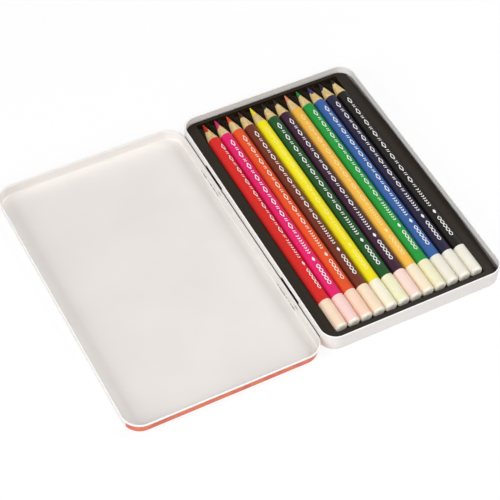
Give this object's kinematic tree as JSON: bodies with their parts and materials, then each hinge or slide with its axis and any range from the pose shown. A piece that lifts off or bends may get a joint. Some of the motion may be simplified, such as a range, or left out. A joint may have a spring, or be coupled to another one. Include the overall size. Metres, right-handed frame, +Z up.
{
  "type": "colored pencil tin",
  "caption": "Flat hinged tin with a formed tray that holds a row of round colored pencils, lying open with its lid beside it.",
  "frame": {"origin": "centre of the base's underside", "axes": "+X across the pencils, away from the hinged lid; +Y along the pencils, towards their points; +Z up, out of the open tin"},
  "size_m": [0.244, 0.191, 0.0122],
  "materials": {
    "base_enamel": "white gloss enamel",
    "lid_enamel": "white gloss enamel inside, orange-red printed enamel outside",
    "tray_plastic": "satin formed sheet",
    "pencil_wood": "freshly sharpened wood",
    "lacquer_red": "gloss lacquer",
    "dip_red": "satin lacquer",
    "lead_red": "waxy matte",
    "lacquer_magenta": "gloss lacquer",
    "dip_magenta": "satin lacquer",
    "lead_magenta": "waxy matte",
    "lacquer_orange_red": "gloss lacquer",
    "dip_orange_red": "satin lacquer",
    "lead_orange_red": "waxy matte",
    "lacquer_brown": "gloss lacquer",
    "dip_brown": "satin lacquer",
    "lead_brown": "waxy matte",
    "lacquer_yellow": "gloss lacquer",
    "dip_yellow": "satin lacquer",
    "lead_yellow": "waxy matte",
    "lacquer_dark_green": "gloss lacquer",
    "dip_dark_green": "satin lacquer",
    "lead_dark_green": "waxy matte",
    "lacquer_purple": "gloss lacquer",
    "dip_purple": "satin lacquer",
    "lead_purple": "waxy matte",
    "lacquer_apricot": "gloss lacquer",
    "dip_apricot": "satin lacquer",
    "lead_apricot": "waxy matte",
    "lacquer_green": "gloss lacquer",
    "dip_green": "satin lacquer",
    "lead_green": "waxy matte",
    "lacquer_blue": "gloss lacquer",
    "dip_blue": "satin lacquer",
    "lead_blue": "waxy matte",
    "lacquer_navy": "gloss lacquer",
    "dip_navy": "satin lacquer",
    "lead_navy": "waxy matte",
    "lacquer_black": "gloss lacquer",
    "dip_black": "satin lacquer",
    "lead_black": "waxy matte"
  },
  "bodies": {
    "base": {"base_shell": "base_enamel"},
    "lid": {"lid_shell": "lid_enamel"},
    "tray": {"tray": "tray_plastic"},
    "pencil_01": {"pencil_01_casing": "pencil_wood", "pencil_01_lead": "lead_red", "pencil_01_lacquer": "lacquer_red", "pencil_01_end_dip": "dip_red"},
    "pencil_02": {"pencil_02_casing": "pencil_wood", "pencil_02_lead": "lead_magenta", "pencil_02_lacquer": "lacquer_magenta", "pencil_02_end_dip": "dip_magenta"},
    "pencil_03": {"pencil_03_casing": "pencil_wood", "pencil_03_lead": "lead_orange_red", "pencil_03_lacquer": "lacquer_orange_red", "pencil_03_end_dip": "dip_orange_red"},
    "pencil_04": {"pencil_04_casing": "pencil_wood", "pencil_04_lead": "lead_brown", "pencil_04_lacquer": "lacquer_brown", "pencil_04_end_dip": "dip_brown"},
    "pencil_05": {"pencil_05_casing": "pencil_wood", "pencil_05_lead": "lead_yellow", "pencil_05_lacquer": "lacquer_yellow", "pencil_05_end_dip": "dip_yellow"},
    "pencil_06": {"pencil_06_casing": "pencil_wood", "pencil_06_lead": "lead_dark_green", "pencil_06_lacquer": "lacquer_dark_green", "pencil_06_end_dip": "dip_dark_green"},
    "pencil_07": {"pencil_07_casing": "pencil_wood", "pencil_07_lead": "lead_purple", "pencil_07_lacquer": "lacquer_purple", "pencil_07_end_dip": "dip_purple"},
    "pencil_08": {"pencil_08_casing": "pencil_wood", "pencil_08_lead": "lead_apricot", "pencil_08_lacquer": "lacquer_apricot", "pencil_08_end_dip": "dip_apricot"},
    "pencil_09": {"pencil_09_casing": "pencil_wood", "pencil_09_lead": "lead_green", "pencil_09_lacquer": "lacquer_green", "pencil_09_end_dip": "dip_green"},
    "pencil_10": {"pencil_10_casing": "pencil_wood", "pencil_10_lead": "lead_blue", "pencil_10_lacquer": "lacquer_blue", "pencil_10_end_dip": "dip_blue"},
    "pencil_11": {"pencil_11_casing": "pencil_wood", "pencil_11_lead": "lead_navy", "pencil_11_lacquer": "lacquer_navy", "pencil_11_end_dip": "dip_navy"},
    "pencil_12": {"pencil_12_casing": "pencil_wood", "pencil_12_lead": "lead_black", "pencil_12_lacquer": "lacquer_black", "pencil_12_end_dip": "dip_black"}
  },
  "joints": [
    {"name": "lid_hinge", "type": "hinge", "parent": "base", "child": "lid", "pos_m": [-0.0611, 0, 0.00695], "axis": [0, -1, 0], "range_deg": [-180, 0]},
    {"name": "tray_lift", "type": "slide", "parent": "base", "child": "tray", "axis": [0, 0, 1], "range_m": [0, 0.02]},
    {"name": "pencil_01_lift", "type": "slide", "parent": "tray", "child": "pencil_01", "axis": [0, 0, 1], "range_m": [0, 0.03]},
    {"name": "pencil_02_lift", "type": "slide", "parent": "tray", "child": "pencil_02", "axis": [0, 0, 1], "range_m": [0, 0.03]},
    {"name": "pencil_03_lift", "type": "slide", "parent": "tray", "child": "pencil_03", "axis": [0, 0, 1], "range_m": [0, 0.03]},
    {"name": "pencil_04_lift", "type": "slide", "parent": "tray", "child": "pencil_04", "axis": [0, 0, 1], "range_m": [0, 0.03]},
    {"name": "pencil_05_lift", "type": "slide", "parent": "tray", "child": "pencil_05", "axis": [0, 0, 1], "range_m": [0, 0.03]},
    {"name": "pencil_06_lift", "type": "slide", "parent": "tray", "child": "pencil_06", "axis": [0, 0, 1], "range_m": [0, 0.03]},
    {"name": "pencil_07_lift", "type": "slide", "parent": "tray", "child": "pencil_07", "axis": [0, 0, 1], "range_m": [0, 0.03]},
    {"name": "pencil_08_lift", "type": "slide", "parent": "tray", "child": "pencil_08", "axis": [0, 0, 1], "range_m": [0, 0.03]},
    {"name": "pencil_09_lift", "type": "slide", "parent": "tray", "child": "pencil_09", "axis": [0, 0, 1], "range_m": [0, 0.03]},
    {"name": "pencil_10_lift", "type": "slide", "parent": "tray", "child": "pencil_10", "axis": [0, 0, 1], "range_m": [0, 0.03]},
    {"name": "pencil_11_lift", "type": "slide", "parent": "tray", "child": "pencil_11", "axis": [0, 0, 1], "range_m": [0, 0.03]},
    {"name": "pencil_12_lift", "type": "slide", "parent": "tray", "child": "pencil_12", "axis": [0, 0, 1], "range_m": [0, 0.03]}
  ]
}
